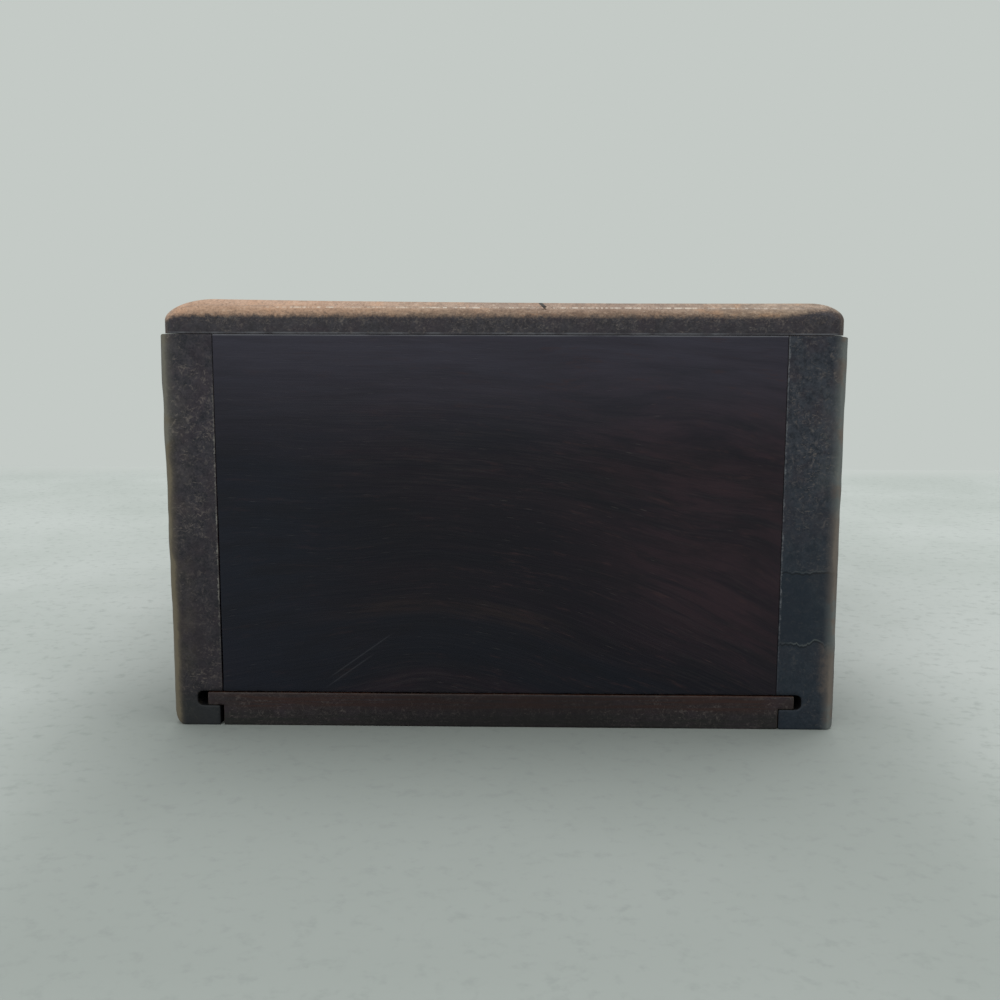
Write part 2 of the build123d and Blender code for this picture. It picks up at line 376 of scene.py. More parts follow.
class Wood(Paint):
    """Dark oiled hardwood with its fibres along one axis.

    The pores are long cells along the grain, so that they show as dashes on the long faces and as
    dots on the end grain. With sweep, the grain also falls away towards the back of the box.
    """

    def __init__(self, name, grain, seed, sweep=False):
        super().__init__(name)
        self.seed = seed
        self.grain = "XYZ".index(grain)
        self.across = self.z
        if sweep:
            self.bend_grain()
        normal = self.add("SeparateXYZ", {0: self.space.outputs["Normal"]})
        self.ends = self.spread(self.maths("ABSOLUTE", normal.outputs[grain]), 0.55, 0.85)
        self.fibres = self.noise(self.along(9, 0.35), 3.0, 0.7)
        cells = self.add(
            "TexVoronoi",
            {"Vector": self.mapped(self.along(3.4, 0.42)), "Scale": 1.0, "Randomness": 1.0},
        )
        self.pore = self.times(
            self.spread(cells.outputs["Distance"], 0.16, 0.34, 1.0, 0.0),
            self.spread(cells.outputs["Color"], 0.45, 0.75),
        )

    def along(self, length, width):
        """Sizes for noise that is drawn out along the grain."""
        return [length if axis == self.grain else width for axis in range(3)]

    def bend_grain(self):
        """Bends the grain: level on the left, and falling more and more steeply to the right."""
        fall_start, fall_rate, fall_ease = -20.0, 0.4, 40.0
        right = self.most(self.maths("ADD", self.x, -fall_start), 0.0)
        fall = self.maths(
            "DIVIDE", self.times(right, right, fall_rate), self.maths("ADD", right, fall_ease)
        )
        fall = self.times(fall, self.spread(self.z, 0, 75, 1.2, 0.25))
        left_start, left_rate = -12.0, 0.13
        left = self.times(self.most(self.maths("SUBTRACT", left_start, self.x), 0.0), left_rate)
        left = self.times(left, self.spread(self.z, 28, 48, 1.0, 0.0))
        waves = self.spread(self.noise((50, 50, 30), 1.0), 0.3, 0.7, -1.2, 1.2)
        for part in (fall, left, waves):
            self.across = self.maths("ADD", self.across, part)
        bent = self.add("CombineXYZ", {0: self.x, 1: self.y, 2: self.across})
        self.place = bent.outputs[0]

    def at_near_end(self):
        """1 at the near end of the box, falling to 0 a few millimetres further in."""
        return self.spread(self.y, near_end + 4, near_end + 10, 1.0, 0.0)

    def plank(self, dark, warm, pores, streaks=0.1, length=90):
        """The long faces: broad figure, fine fibres and pale pores."""
        figure = self.noise(self.along(1.8 * length, 14), 2.0, 0.5, 0.5)
        bands = self.noise(self.along(length, 3.2), 3.0, 0.6, 0.2)
        tone = self.maths("ADD", self.times(figure, 0.55), self.times(bands, 0.45))
        colour = self.mix(self.spread(tone, 0.38, 0.62), dark, warm)
        colour = self.mix(self.spread(self.fibres, 0.4, 0.8, 0.0, streaks), colour, pore_pale)
        return self.blend(colour, pore_pale, pores, self.pore)

    def end_grain(self, low, high, flecks=0.5):
        """The end grain: mottled, with pale smears, specks and short curved scratches in patches."""
        mottle = self.times(self.noise(1.6, 4.0, 0.7), 0.6)
        gritty = self.times(self.noise(0.42, 2.0, 0.6, seed=2.0), 0.4)
        patches = self.noise(5, 2.0, seed=3.0)
        colour = self.mix(self.spread(self.maths("ADD", mottle, gritty), 0.34, 0.66), low, high)
        tint = self.spread(self.noise(4.5, 3.0, 0.6, seed=6.0), 0.45, 0.65, 0.0, 0.4)
        colour = self.mix(tint, colour, end_tint)
        smears = self.times(
            self.spread(self.noise(0.9, 3.0, 0.7, 0.8, seed=4.0), 0.52, 0.75),
            self.spread(patches, 0.3, 0.7, 0.2, flecks),
        )
        specks = self.times(
            self.spread(self.noise((0.8, 0.8, 0.3), 2.0, 0.6, seed=5.0), 0.6, 0.74),
            self.spread(patches, 0.4, 0.65, 0.15, flecks),
        )
        scratches = self.times(
            self.band(self.noise(2.4, 1.0, 0.5, 1.6, seed=7.0), 0.5, 0.002, 0.012),
            self.spread(patches, 0.45, 0.6, 0.0, 0.4 * flecks),
        )
        return self.mix(self.most(self.most(specks, scratches), smears), colour, fleck_pale)

    def hide(self, colour):
        """Shows cleaner wood on the faces that the closed box hides."""
        figure = self.noise(self.along(120, 6), 3.0, 0.6, 0.8)
        clean = self.mix(self.spread(figure, 0.35, 0.65), inner_dark, inner_brown)
        clean = self.blend(clean, inner_dark, 0.35, self.pore)
        return self.mix(self.attribute("bare"), colour, clean)

    def rub(self, colour, worn, low, high, amount=0.9, waves=0.6):
        """Lets a worn colour through where the wood is rubbed, with a wavy and speckled outline."""
        speckle = 0.3
        wavy = self.noise(4, 2.0, 0.6, seed=11.0)
        fine = self.noise(0.55, 3.0, 0.75, seed=13.0)
        rubbing = self.times(
            self.attribute("wear"),
            self.spread(wavy, 0.25, 0.75, 1 - waves, 1 + waves),
            self.spread(fine, 0.25, 0.75, 1 - speckle, 1 + speckle),
        )
        return self.mix(self.spread(rubbing, low, high, 0.0, amount), colour, worn)

    def edge_wear_and_highlights(self, colour, pale, amount, size=1.6):
        """Draws broken pale lines along the edges: partly where the finish has rubbed through, partly
        painted highlights on the arrises.
        """
        broken = self.spread(self.noise(size, 3.0, 0.7, seed=17.0), 0.35, 0.6)
        line = self.spread(self.attribute("edge"), 0.45, 0.9)
        return self.blend(colour, pale, amount, line, broken)

    def groove_shade(self, colour, side):
        """Paints shade into the pocket that the groove leaves beside the tongue, side as in long_board.
        """
        pocket = self.times(
            self.spread(self.z, 7.5, 6.5), self.spread(self.x, side * 58.0, side * 56.5)
        )
        return self.blend(colour, pocket_shade, 0.85, pocket)

    def rub_and_reflect_side(self, colour, worn, side, start, amount, low, high):
        """Rubs a long board's outer edges, and its end from start out to the outer face, to a pale
        colour that is partly wear and partly a painted reflection of the pale wall.
        """
        margin = self.times(self.spread(self.x, side * start, side * 60.2), self.ends)
        colour = self.blend(colour, worn, amount, margin)
        outer_half = self.spread(self.x, side * 54.0, side * 57.0)
        return self.mix(outer_half, colour, self.rub(colour, worn, low, high))

    def worn_and_lit_joint_line(self, colour, place, pale, amount):
        """Draws a thin broken pale line down the end of a board, along its joint at x = place: partly a
        worn edge, partly a painted highlight.
        """
        broken = self.spread(self.noise((40, 40, 1.6), 4.0, 0.7, seed=29.0), 0.4, 0.62, 0.1, 1.0)
        ragged = self.spread(self.noise(0.7, 2.0, 0.6, seed=30.0), 0.3, 0.7, -0.15, 0.15)
        line = self.band(self.maths("ADD", self.x, ragged), place, 0.08, 0.12)
        return self.mix(self.times(line, broken, amount, self.ends), colour, pale)

    def varnish(self, colour):
        """Oiled finish over the colour, with the pores and fibres felt in relief."""
        clouds = self.noise(self.along(40, 7), 3.0, 0.6, seed=19.0)
        roughness = self.spread(clouds, 0.3, 0.7, 0.42, 0.56)
        open_pore = self.times(self.pore, self.spread(self.ends, 0.0, 1.0, 1.2, 0.3))
        height = self.maths("SUBTRACT", self.fibres, open_pore)
        return self.finish(colour, roughness, height, 0.04, specular=0.2)


def end_board_wood():
    """The end boards: plum and near black, bluish to the left and redder where the grain falls."""
    paint = Wood("end_wood", "X", 2.0, sweep=True)
    x, z, across = paint.x, paint.z, paint.across
    near_face = paint.spread(paint.y, near_end + 0.6, near_end + 0.2)
    streaks = paint.noise((16, 16, 1.7), 4.0, 0.65, 0.3)
    colour = paint.plank(near_black, plum, 0.34, streaks=0.08, length=34)

    redder = paint.times(
        paint.spread(x, -6, 30),
        paint.spread(across, 23, 38),
        paint.spread(across, 60, 78, 1.0, 0.3),
        paint.spread(streaks, 0.36, 0.62, 0.1, 0.95),
    )
    colour = paint.mix(redder, colour, ember)
    shadow = linear(12, 12, 22)
    middle = paint.times(paint.band(across, 32, 8, 12), paint.band(x, -8, 20, 20))
    colour = paint.blend(colour, shadow, 0.6, middle)
    deep_blue = linear(17, 21, 31)
    lower = paint.times(paint.band(across, 16, 3.5, 3.5), paint.band(x, -5, 28, 25))
    colour = paint.blend(colour, deep_blue, 0.65, lower)
    arc_brown = linear(52, 40, 37)
    arc = paint.times(
        paint.band(across, 22.6, 0.5, 2.2),
        paint.band(x, -10, 12, 22),
        paint.spread(streaks, 0.35, 0.6),
    )
    colour = paint.blend(colour, arc_brown, 0.4, arc)
    blue_black = linear(20, 25, 37)
    left = paint.times(paint.spread(x, -16, -46), paint.spread(z, 62, 48, 0.4, 1.0))
    colour = paint.blend(colour, blue_black, 0.75, left)
    blotch = linear(18, 17, 24)
    blotches = paint.noise((14, 14, 3.2), 4.0, 0.65, seed=27.0)
    colour = paint.mix(paint.spread(blotches, 0.4, 0.68, 0.0, 0.5), colour, blotch)

    # Painted sheen: the upper part of the end boards, most of all on the near face, turns a lighter grey
    # as if it reflected the bright room above.
    painted_sheen_grey = linear(57, 55, 67)
    painted_sheen = paint.times(
        paint.spread(z, 46, 74), paint.spread(streaks, 0.25, 0.75, 0.6, 1.0), paint.most(near_face, 0.25)
    )
    colour = paint.mix(painted_sheen, colour, painted_sheen_grey)
    ember_light = linear(60, 42, 44)
    embers = paint.times(
        paint.spread(paint.noise((6, 6, 0.8), 4.0, 0.7, seed=23.0), 0.54, 0.78, 0.0, 0.6),
        paint.spread(x, -40, 20, 0.4, 1.0),
    )
    colour = paint.mix(embers, colour, ember_light)
    colour = paint.mix(paint.ends, colour, paint.end_grain(linear(36, 33, 36), linear(50, 47, 49)))

    scratch_grey = linear(84, 84, 90)
    scratch_slope = 0.72
    slant = paint.maths("SUBTRACT", z, paint.times(x, scratch_slope))
    for start, middle, half in ((31.6, -25.5, 3.5), (30.2, -27.5, 2.0)):
        line = paint.times(paint.band(slant, start, 0.04, 0.18), paint.band(x, middle, half, 3.0))
        colour = paint.blend(colour, scratch_grey, 0.22, line, near_face)
    # A broken pale line along the rim on the near face: partly a worn edge, partly painted light that
    # cancels the shade in the joint under the lid.
    rim_light_grey = linear(104, 103, 110)
    broken = paint.spread(paint.noise((12, 40, 40), 3.0, 0.6, seed=37.0), 0.38, 0.6, 0.15, 0.9)
    worn_and_lit_rim_line = paint.times(paint.spread(z, rim - 0.3, rim - 0.1), near_face, broken)
    colour = paint.mix(worn_and_lit_rim_line, colour, rim_light_grey)
    colour = paint.hide(colour)
    # Pale edge lines, stronger towards the rim: partly rubbed finish, partly painted light that cancels
    # the shade in the joints near the lid.
    return paint.varnish(paint.edge_wear_and_highlights(colour, linear(90, 88, 94), paint.spread(z, 56, 68, 0.3, 0.9)))


def front_board_wood():
    """The front board: grey end grain, browner and then greenish at the foot, with pale edges that are
    partly worn and partly a painted reflection of the wall.
    """
    paint = Wood("front_wood", "Y", 5.0)
    z = paint.z
    colour = paint.groove_shade(paint.plank(near_black, ember, 0.25), -1)
    brown, green = linear(38, 34, 36), linear(36, 42, 43)
    end = paint.end_grain(linear(33, 34, 42), linear(64, 60, 67), 0.8)
    end = paint.mix(paint.spread(z, 62, 12, 0.0, 0.4), end, brown)
    end = paint.mix(paint.spread(z, 7, 3, 0.0, 0.6), end, green)
    colour = paint.hide(paint.mix(paint.ends, colour, end))
    # Pale outer corner: partly rubbed wear, partly a painted reflection of the pale wall, greyer higher
    # up.
    rubbed_reflection_low, rubbed_reflection_high = linear(112, 102, 86), linear(115, 111, 102)
    level = paint.maths("ADD", z, paint.spread(paint.noise(7, 2.0), 0.2, 0.8, -22, 22))
    worn = paint.mix(paint.spread(level, 44, 58), rubbed_reflection_low, rubbed_reflection_high)
    colour = paint.rub_and_reflect_side(colour, worn, -1, start=57.4, amount=0.7, low=0.0, high=0.55)
    # Pale line at the joint with the end board: partly a worn edge, partly a painted highlight.
    lines = paint.times(paint.spread(z, 66, 50, 0.0, 0.75), paint.spread(z, 8, 34, 0.1, 1.0))
    return paint.varnish(paint.worn_and_lit_joint_line(colour, front_inner - 0.15, linear(140, 136, 130), lines))


def back_board_wood():
    """The back board: bluish end grain with two cracks and a brown stain low on the near end."""
    paint = Wood("back_wood", "Y", 9.0)
    x, z = paint.x, paint.z
    near = paint.at_near_end()
    colour = paint.groove_shade(paint.plank(near_black, ember, 0.25), 1)
    lower_blue, crack_blue = linear(31, 41, 51), linear(26, 35, 46)
    end = paint.end_grain(linear(33, 37, 46), linear(61, 64, 73), 0.6)
    end = paint.mix(paint.spread(z, 58, 22, 0.0, 0.65), end, lower_blue)

    upper_crack, lower_crack = 29.2, 16.2
    ripple = paint.spread(paint.noise((2.5, 2.5, 40), 3.0, 0.65), 0.2, 0.8, -0.9, 0.9)
    wavy = paint.maths("ADD", z, paint.times(ripple, 0.45))
    ragged = paint.maths("ADD", z, ripple)
    between = paint.band(wavy, (upper_crack + lower_crack) / 2, 6.3, 0.3)
    end = paint.blend(end, crack_blue, 0.5, between, near)
    crack_pale, crack_dark = linear(96, 100, 98), linear(14, 17, 20)
    chipped = paint.spread(paint.band(x, 54.5, 1.5, 2.5), 0.0, 1.0, 0.3, 1.0)
    patchy = paint.spread(paint.noise(2.2, 3.0, 0.7), 0.3, 0.6, 0.3, 1.0)
    cracks = ((wavy, upper_crack, 0.03, 0.3), (ragged, lower_crack, 0.06, 0.5))
    for height, level, half, amount in cracks:
        lip = paint.times(paint.band(height, level, half, 0.14), near, patchy, chipped)
        end = paint.blend(end, crack_pale, amount, lip)
        end = paint.blend(end, crack_dark, 0.6, paint.band(height, level - 0.35, 0.08, 0.12), near)
    stain_brown = linear(88, 79, 75)
    stain = paint.times(
        paint.band(ragged, 11.5, 3.8, 1.2),
        paint.spread(paint.maths("ADD", x, paint.times(ripple, 1.2)), 55.4, 58.6),
        paint.spread(paint.noise(0.9, 4.0, 0.7, seed=35.0), 0.36, 0.6, 0.25, 1.0),
        near,
    )
    end = paint.blend(end, stain_brown, 0.65, stain)
    colour = paint.hide(paint.mix(paint.ends, colour, end))

    # Pale outer corner: partly rubbed wear, partly a painted reflection of the pale wall, browner in
    # bands and spots.
    rubbed_reflection_grey, rubbed_reflection_brown = linear(109, 112, 111), linear(115, 105, 98)
    spots = paint.spread(paint.noise(6, 3.0, 0.6, seed=2.0), 0.48, 0.6)
    for level, half, soft in ((9.5, 4.0, 2.5), (33, 4.0, 5.0)):
        spots = paint.most(spots, paint.band(z, level, half, soft))
    worn = paint.mix(spots, rubbed_reflection_grey, rubbed_reflection_brown)
    colour = paint.rub_and_reflect_side(colour, worn, 1, start=57.2, amount=0.9, low=0.02, high=0.5)
    # Pale line at the joint with the end board: partly a worn edge, partly a painted highlight.
    lines = paint.spread(z, 10, 22, 0.1, 0.6)
    return paint.varnish(paint.worn_and_lit_joint_line(colour, back_inner + 0.15, linear(116, 117, 122), lines))


def bottom_wood():
    """The bottom board: reddish above and greenish below on its near end."""
    paint = Wood("bottom_wood", "Y", 13.0)
    colour = paint.plank(linear(50, 33, 30), linear(70, 42, 34), 0.3, streaks=0.15)
    rust_red, moss_green, middle_shade = linear(58, 38, 34), linear(35, 37, 35), linear(22, 19, 22)
    streaks = paint.noise((14, 14, 0.5), 3.0, 0.6)
    end = paint.end_grain(linear(39, 34, 37), linear(51, 46, 48), 0.5)
    rust = paint.times(
        paint.spread(paint.z, 2.4, 4.2),
        paint.spread(streaks, 0.4, 0.6, 0.2, 0.8),
        paint.spread(paint.maths("ABSOLUTE", paint.x), 45, 51, 1.0, 0.3),
    )
    end = paint.mix(rust, end, rust_red)
    moss = paint.times(paint.spread(paint.z, 3.2, 1.4), paint.spread(streaks, 0.4, 0.6, 0.2, 0.7))
    end = paint.mix(moss, end, moss_green)
    end = paint.blend(end, middle_shade, 0.45, paint.band(paint.x, 0, 12, 28))
    colour = paint.hide(paint.mix(paint.ends, colour, end))
    # Pale edge lines: partly rubbed finish, partly painted highlights.
    return paint.varnish(paint.edge_wear_and_highlights(colour, linear(90, 82, 76), 0.4))


def lid_worn_colour(paint):
    """The colour where the lid's finish is rubbed off: pale brown with grain, warmer at the front."""
    tan_dark, tan_light = linear(134, 112, 96), linear(170, 145, 126)
    tan = paint.noise((3, 34, 0.7), 4.0, 0.65, 0.4, seed=3.0)
    worn = paint.mix(paint.spread(tan, 0.35, 0.65), tan_dark, tan_light)
    orange, peach, umber = linear(186, 144, 112), linear(208, 164, 137), linear(138, 103, 88)
    patches = paint.spread(paint.noise((4, 50, 1.5), 3.0, 0.6, seed=5.0), 0.5, 0.72, 0.0, 0.6)
    worn = paint.mix(patches, worn, orange)
    worn = paint.mix(paint.spread(paint.x, 5, -40, 0.0, 0.55), worn, peach)
    worn = paint.blend(worn, umber, 0.35, paint.band(paint.x, 14, 10, 22))
    grain_dark, grain_light, dirt_brown = linear(98, 84, 76), linear(200, 182, 166), linear(88, 76, 70)
    grain = paint.noise((0.5, 3.0, 0.35), 3.0, 0.7, seed=8.0)
    worn = paint.mix(paint.spread(grain, 0.3, 0.55, 0.45, 0.0), worn, grain_dark)
    worn = paint.mix(paint.spread(grain, 0.55, 0.75, 0.0, 0.6), worn, grain_light)
    dirt = paint.spread(paint.noise((0.7, 0.7, 0.45), 4.0, 0.75, seed=9.0), 0.46, 0.66)
    return paint.blend(worn, dirt_brown, 0.75, dirt, paint.spread(paint.z, 75.6, 73.8))


def lid_wood():
    """The lid: dark below its arrises and worn to pale brown above them, with a painted highlight in
    broken dashes along its near edge.
    """
    paint = Wood("lid_wood", "Y", 17.0)
    x, z = paint.x, paint.z
    near = paint.at_near_end()
    colour = paint.plank(linear(50, 35, 32), linear(82, 54, 42), 0.45, streaks=0.25)
    end = paint.end_grain(linear(48, 45, 50), linear(65, 62, 68), 0.7)
    colour = paint.hide(paint.mix(paint.ends, colour, end))
    half_worn = linear(92, 76, 66)
    colour = paint.rub(colour, half_worn, 0.25, 0.65, amount=0.5, waves=0.2)
    colour = paint.rub(colour, lid_worn_colour(paint), 0.26, 0.84, amount=0.97, waves=0.1)

    speck_pale, worn_and_lit_hairline_grey = linear(130, 114, 104), linear(104, 104, 110)
    specks = paint.spread(paint.noise(0.3, 3.0, 0.7, seed=31.0), 0.52, 0.66)
    colour = paint.blend(colour, speck_pale, 0.3, specks, paint.band(z, 73.6, 0.4, 0.9))
    # A broken pale line along the lid's lower edge: partly a worn arris, partly painted light that
    # cancels the shade in the joint below it.
    broken = paint.spread(paint.noise((5, 5, 40), 3.0, 0.7, seed=33.0), 0.4, 0.6, 0.25, 1.0)
    worn_and_lit_hairline = paint.band(z, lid_low.z + 0.14, 0.16, 0.12)
    colour = paint.blend(colour, worn_and_lit_hairline_grey, 0.8, worn_and_lit_hairline, broken, paint.ends)
    # Painted highlight: broken pale dashes along the near end's rounded edge, where it would catch the
    # light from above.
    painted_highlight_pale = linear(226, 212, 198)
    dashes = paint.spread(paint.noise((0.9, 40, 40), 3.0, 0.7, seed=15.0), 0.42, 0.62)
    rows = paint.spread(paint.noise((14, 40, 40), 1.0, seed=16.0), 0.3, 0.5, 0.3, 1.0)
    painted_highlight = paint.times(paint.band(z, 75.5, 0.04, 0.14), dashes, rows, near)
    colour = paint.blend(colour, painted_highlight_pale, 0.7, painted_highlight, paint.band(x, 3.5, 38, 12))

    nick_shade = linear(22, 16, 14)
    slip = paint.maths("SUBTRACT", x, nick_x)
    rise = paint.maths("SUBTRACT", z, nick_z)
    nick = paint.times(
        paint.band(paint.maths("ADD", slip, rise), 0, nick_half_width - 0.05, 0.15),
        paint.band(paint.maths("SUBTRACT", slip, rise), 0, nick_half_length - 0.05, 0.3),
    )
    colour = paint.blend(colour, nick_shade, 0.95, nick, near)
    # Pale edge lines: partly rubbed finish, partly painted highlights.
    return paint.varnish(paint.edge_wear_and_highlights(colour, linear(128, 124, 122), 0.6, 2.5))


def peg_wood():
    """The pegs: a little paler than the boards, with end grain on their faces."""
    paint = Wood("peg_wood", "X", 21.0)
    colour = paint.plank(linear(60, 42, 32), linear(84, 58, 40), 0.4, streaks=0.2)
    colour = paint.mix(paint.ends, colour, paint.end_grain(linear(48, 38, 32), linear(66, 52, 42)))
    return paint.varnish(colour)


def brass(name, clean, tarnish):
    """Old brass, tarnished in patches and scratched along the hinge."""
    paint = Paint(name)
    patches = paint.noise(4.0, 3.0, 0.6)
    scratches = paint.noise((0.12, 4.0, 0.12), 2.0, 0.5)
    colour = paint.mix(paint.spread(patches, 0.3, 0.7), clean, tarnish)
    roughness = paint.spread(patches, 0.3, 0.7, 0.34, 0.55)
    return paint.finish(colour, roughness, scratches, 0.005, metallic=1.0)


front_wood = front_board_wood()
back_wood = back_board_wood()
end_wood = end_board_wood()
bottom_finish = bottom_wood()
lid_finish = lid_wood()
peg_finish = peg_wood()
hinge_brass = brass("hinge_brass", linear(138, 114, 76), linear(92, 76, 54))
screw_brass = brass("screw_brass", linear(148, 122, 82), linear(100, 82, 58))

# Hinge seats, let into the back board's top and the lid's underside

pivot = [v / MM for v in frame["joints"][0]["pos_m"]]
seats = [box_mm(f"{place}_hinge_box_leaf") for place in ("near", "far")]
seat_fit = 0.1
seat_inner = seats[0][0].x - seat_fit
seat_ends = [(low.y - seat_fit, high.y + seat_fit) for low, high in seats]
barrel_room = 2.5


def seat_hollow(x, y, z, leaf_face):
    """Distance outside the nearest hinge seat: the leaf's mortise and the barrel's round room."""
    along = np.minimum.reduce([np.maximum(start - y, y - end) for start, end in seat_ends])
    mortise = np.maximum(seat_inner - x, np.abs(z - leaf_face) - leaf_thickness)
    barrel = np.hypot(x - pivot[0], z - pivot[2]) - barrel_room
    return np.maximum(along, np.minimum(mortise, barrel))


# Grids: cells are fine at worn edges and coarse along the faces

finest, fine, small, broad, coarse = 0.1, 0.3, 0.4, 1.2, 2.5


def along_the_box(low, high, near_cell):
    """Grid lines along Y, fine at both ends and with lines at the hinge seats' ends."""
    (a, b), (c, d) = seat_ends
    edge = 2.4
    return steps(
        (low, low + edge, near_cell),
        (low + edge, low + 6, 2 * near_cell),
        (low + 6, a, coarse),
        (a, b, coarse),
        (b, c, coarse),
        (c, d, coarse),
        (d, high - edge, coarse),
        (high - edge, high, small),
    )


# The two long side boards, whose outer faces swell a little, except round the pegs, which stand
# just proud of them, and whose rims are worn at the near end

peg_low, peg_high = box_mm("near_front_pegs")
peg_side = (peg_low.y + peg_high.y) / 2
peg_levels = [peg_low.z + peg_radius, (peg_low.z + peg_high.z) / 2, peg_high.z - peg_radius]
peg_places = [(end * peg_side, level) for end in (1, -1) for level in peg_levels]
peg_stand = 0.05


def beside_pegs(y, z):
    """1 at the pegs, falling to 0 a few millimetres away from them."""
    away = np.minimum.reduce([np.hypot(y - peg_y, z - peg_z) for peg_y, peg_z in peg_places])
    return 1 - ramp(away, 2, 6)


def front_swell(z):
    """How far the front board's face stands out: a little in below, and out above."""
    return 0.3 * ramp(z, 38, 60) - 0.15


def back_swell(z):
    """How far the back board's face stands out: towards its foot only."""
    return 0.2 * (1 - ramp(z, 8, 22))


def long_board(name, side, material, seed, foot, swell, rim_wear):
    """A long side board, side -1 for the front and 1 for the back, with its groove and lip.

    foot is the width and height of its lower arris, and rim_wear those of the worn slope at the
    outer edge of its rim near the near end.
    """
    low, high = box_mm(name)
    outer = high.x if side > 0 else low.x
    inner = low.x if side > 0 else high.x
    groove_end = inner + side * groove_depth
    lip_face = inner + side * lip_relief
    edge = 2.7
    across = steps(
        (outer, outer - side * edge, fine),
        (outer - side * edge, groove_end, small),
        (groove_end, lip_face, 0.6),
        (lip_face, inner + side * finest, 0.225),
        (inner + side * finest, inner, finest),
    )
    grid = [
        np.sort(across),
        along_the_box(low.y, high.y, fine),
        steps(
            (0, 2.4, fine),
            (2.4, groove_low, 0.35),
            (groove_low, groove_high, small),
            (groove_high, rim - 3, 0.8),
            (rim - 3, rim - leaf_thickness, 0.25),
            (rim - leaf_thickness, rim - finest, fine),
            (rim - finest, rim, finest),
        ),
    ]

    def hollows(x, y, z):
        beside = np.maximum(groove_low - z, z - groove_high)
        groove = rounded(beside, side * (x - groove_end), groove_round, groove_round)
        lip = np.maximum(z - groove_low, side * (x - lip_face))
        found = [groove, lip]
        if side > 0:
            found.append(seat_hollow(x, y, z, rim))
        return found

    def solid(x, y, z):
        return np.minimum.reduce(hollows(x, y, z)) > 0

    def field(p):
        x, y, z = p.T
        level = swell(z)
        level = level - (np.maximum(level, 0) + peg_stand) * beside_pegs(y, z)
        out = side * (x - outer) + wobble(p, seed) - level
        near = low.y - y + wobble(p, seed + 2, 0.03)
        far = y - high.y + wobble(p, seed + 3, 0.03)
        ragged = 1 + 0.2 * noise(p, 9, seed + 4) + 0.1 * noise(p, 2, seed + 5)
        upright = arris * ragged
        shape = rounded(rounded(out, near, upright, upright), far, upright, upright)
        ends = np.maximum(near, far)
        inwards = side * (inner - x)
        fade = 1 - ramp(y, near_end + 1.5, near_end + 6)
        slope = small_arris + (rim_wear[0] - small_arris) * fade * ragged
        drop = small_arris + (rim_wear[1] - small_arris) * fade * ragged
        for one, other, reach, height in (
            (out, -z, foot[0] * ragged, foot[1] * ragged),
            (out, z - rim, slope, drop),
            (ends, -z, small_arris, small_arris),
            (ends, z - rim, rim_arris, rim_arris),
            (inwards, z - rim, small_arris, small_arris),
            (ends, inwards, small_arris, small_arris),
        ):
            shape = np.maximum(shape, rounded(one, other, reach, height))
        for hollow in hollows(x, y, z):
            shape = cut(shape, hollow)
        return shape

    def inside(p):
        return np.clip(1 - np.abs(p[:, 0] - inner) / small_arris, 0, 1) * within_box(p)

    def wear(sharp, points):
        """Rubbed near the edges of the outer face only, where hands and tables touch it."""
        margin = np.minimum.reduce(
            [sharp[:, 1] - low.y, high.y - sharp[:, 1], sharp[:, 2], rim - sharp[:, 2]]
        )
        return rubbed(sharp, points) * (1 - ramp(margin, 0.8, 3.0))

    return carve(
        name + "_wood", grid, solid, field, "box", name, material, inside, wear
    )


long_board(
    "front_board", -1, front_wood, seed=10, foot=(2.0, 3.2), swell=front_swell, rim_wear=(0.9, 0.5)
)
long_board(
    "back_board", 1, back_wood, seed=30, foot=(1.2, 1.0), swell=back_swell, rim_wear=(3.7, 0.45)
)


# The end boards


def end_board(name, seed, end):
    """An end board, end -1 for the near one and 1 for the far one, which alone has a groove."""
    low, high = box_mm(name)
    outer = low.y if end < 0 else high.y
    inner = high.y if end < 0 else low.y
    groove_end = inner + end * groove_depth
    groove = end > 0
    edge, edge_cell = 1.2, 0.28
    across = steps(
        (outer, outer - end * edge, fine),
        (outer - end * edge, groove_end, 1.0),
        (groove_end, inner, 1.0),
    )
    up = [(low.z, low.z + edge, fine)]
    if groove:
        up += [(edge, groove_low, 0.6), (groove_low, groove_high, 0.5)]
    up += [(up[-1][1], rim - edge, broad), (rim - edge, rim - finest, edge_cell)]
    up += [(rim - finest, rim, finest)]
    grid = [
        steps(
            (low.x, low.x + finest, finest),
            (low.x + finest, low.x + edge, edge_cell),
            (low.x + edge, high.x - edge, broad),
            (high.x - edge, high.x - finest, edge_cell),
            (high.x - finest, high.x, finest),
        ),
        np.sort(across),
        steps(*up),
    ]

    def hollow(y, z):
        return np.maximum(np.maximum(groove_low - z, z - groove_high), end * (y - groove_end))

    def solid(x, y, z):
        return (hollow(y, z) > 0) | (not groove)

    def field(p):
        x, y, z = p.T
        out = end * (y - outer) + wobble(p, seed, 0.05)
        shrunk = 0.16 * (1 - ramp(z, 20, 56)) * (1 + 0.4 * noise(p, 5, seed + 6))
        shape = eased(out, low.x - x + shrunk)
        shape = eased(shape, x - high.x)
        shape = rounded(shape, z - rim, rim_arris, rim_arris)
        shape = eased(shape, low.z - z)
        shape = eased(shape, end * (inner - y))
        if groove:
            shape = cut(shape, hollow(y, z))
        return shape

    def inside(p):
        return np.clip(1 - np.abs(p[:, 1] - inner) / small_arris, 0, 1) * within_box(p)

    return carve(name + "_wood", grid, solid, field, "box", name, end_wood, inside)


end_board("near_end_board", 50, -1)
end_board("far_end_board", 60, 1)


# The sliding bottom, with its tongues


